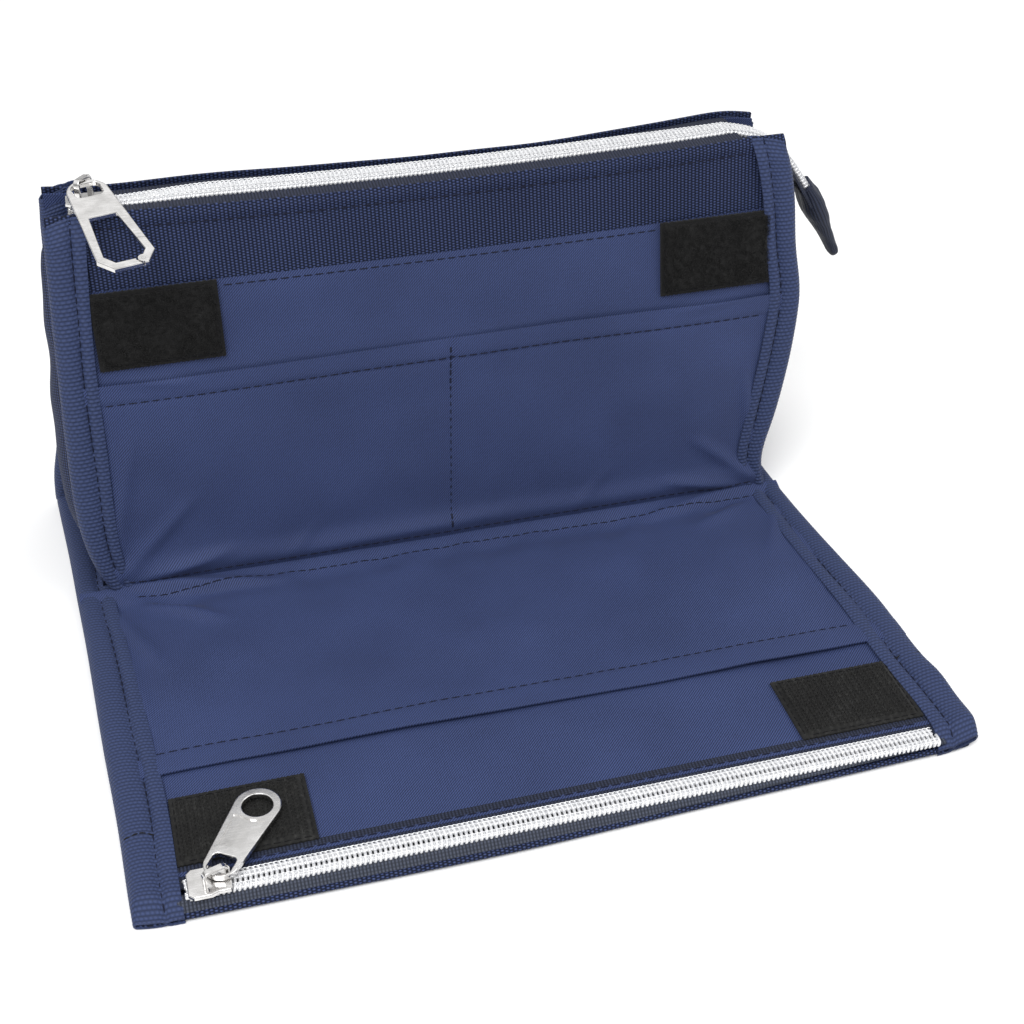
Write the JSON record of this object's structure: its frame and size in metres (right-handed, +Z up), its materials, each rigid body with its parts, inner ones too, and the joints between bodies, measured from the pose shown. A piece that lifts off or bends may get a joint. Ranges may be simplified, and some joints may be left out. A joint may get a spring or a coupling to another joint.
{
  "type": "pencil case",
  "caption": "Book-style zipped fabric pencil case: a standing pouch and a fold-out flap with slip pockets, a flat zip pocket and touch-fastener patches.",
  "frame": {"origin": "on the surface the case stands on, under the middle of the ridge seam where the pouch's front panel meets the flap", "axes": "+X along the width, towards the zipper tail; +Y from the flap towards the back panel; +Z up"},
  "size_m": [0.2211, 0.1646, 0.108],
  "materials": {
    "twill_lining": "fine twill",
    "coarse_cloth": "coarse plain weave",
    "binding_tape": "ribbed grosgrain",
    "zipper_tape": "fine woven tape",
    "zipper_coil": "metallised silver",
    "nickel": "bright nickel",
    "loop_pile": "napped loop",
    "hook_pile": "hook",
    "stiffener": "card and foam"
  },
  "bodies": {
    "pouch": {"base_shell": "coarse_cloth", "base_board": "stiffener", "base_lining": "twill_lining", "spine_padding": "stiffener", "spine_lining": "twill_lining", "base_binding_left": "binding_tape", "base_binding_right": "binding_tape", "front_wall": "coarse_cloth", "front_stiffener": "stiffener", "front_inner_lining": "twill_lining", "front_lining_panel": "twill_lining", "front_slip_pocket": "twill_lining", "loop_patch_left": "loop_pile", "loop_patch_right": "loop_pile", "front_binding_left": "binding_tape", "front_binding_right": "binding_tape", "gusset_left": "coarse_cloth", "gusset_right": "coarse_cloth", "main_zip_front_tape": "zipper_tape", "main_zip_front_coil": "zipper_coil", "main_zip_end_chain": "zipper_coil", "main_zip_tail": "zipper_tape"},
    "back": {"back_shell": "coarse_cloth", "back_board": "stiffener", "back_lining": "twill_lining", "back_binding_left": "binding_tape", "back_binding_right": "binding_tape", "main_zip_back_tape": "zipper_tape", "main_zip_back_coil": "zipper_coil"},
    "flap": {"flap_shell": "coarse_cloth", "flap_board": "stiffener", "flap_pocket_lining": "twill_lining", "flap_inner_panel": "twill_lining", "flap_slip_pocket": "twill_lining", "hook_patch_left": "hook_pile", "hook_patch_right": "hook_pile", "flap_binding_left": "binding_tape", "flap_binding_right": "binding_tape", "flap_zip_rear_tape": "zipper_tape", "flap_zip_rear_coil": "zipper_coil", "flap_zip_front_tape": "zipper_tape", "flap_zip_front_coil": "zipper_coil"},
    "main_slider": {"main_slider_body": "nickel", "main_slider_crown": "nickel"},
    "main_puller": {"main_puller": "nickel", "gate_pin": "nickel"},
    "puller_gate": {"puller_gate": "nickel"},
    "flap_slider": {"flap_slider_body": "nickel", "flap_slider_crown": "nickel"},
    "flap_puller": {"flap_puller": "nickel"}
  },
  "joints": [
    {"name": "flap_fold", "type": "hinge", "parent": "pouch", "child": "flap", "pos_m": [0, -0.014, 0.00095], "axis": [-1, 0, 0], "range_deg": [0, 102]},
    {"name": "main_zip_slide", "type": "slide", "parent": "pouch", "child": "main_slider", "axis": [1, 0, 0], "range_m": [0, 0.158]},
    {"name": "back_open", "type": "hinge", "parent": "pouch", "child": "back", "pos_m": [0, 0.05, 0.0006], "axis": [-1, 0, 0], "range_deg": [0, 28.01], "deforming": ["gusset_left", "gusset_right"]},
    {"name": "main_puller_lift", "type": "hinge", "parent": "main_slider", "child": "main_puller", "pos_m": [-0.086, 0.02875, 0.10595], "axis": [-0.9703, -0.2419, 0], "range_deg": [0, 150]},
    {"name": "puller_gate_swing", "type": "hinge", "parent": "main_puller", "child": "puller_gate", "pos_m": [-0.07499, -0.00157, 0.09913], "axis": [-0.0503, 0.2017, -0.9781], "range_deg": [0, 22], "stiffness_Nm_per_rad": 0.002, "springref_deg": -11.46},
    {"name": "flap_zip_slide", "type": "slide", "parent": "flap", "child": "flap_slider", "axis": [1, 0, 0], "range_m": [0, 0.166]},
    {"name": "flap_puller_lift", "type": "hinge", "parent": "flap_slider", "child": "flap_puller", "pos_m": [-0.0816, -0.1069, 0.0061], "axis": [0.8387, -0.5446, 0], "range_deg": [0, 180]}
  ],
  "couplings": [
    {"joint": "back_open", "follows": "main_zip_slide", "rad_per_m": 3.093}
  ]
}
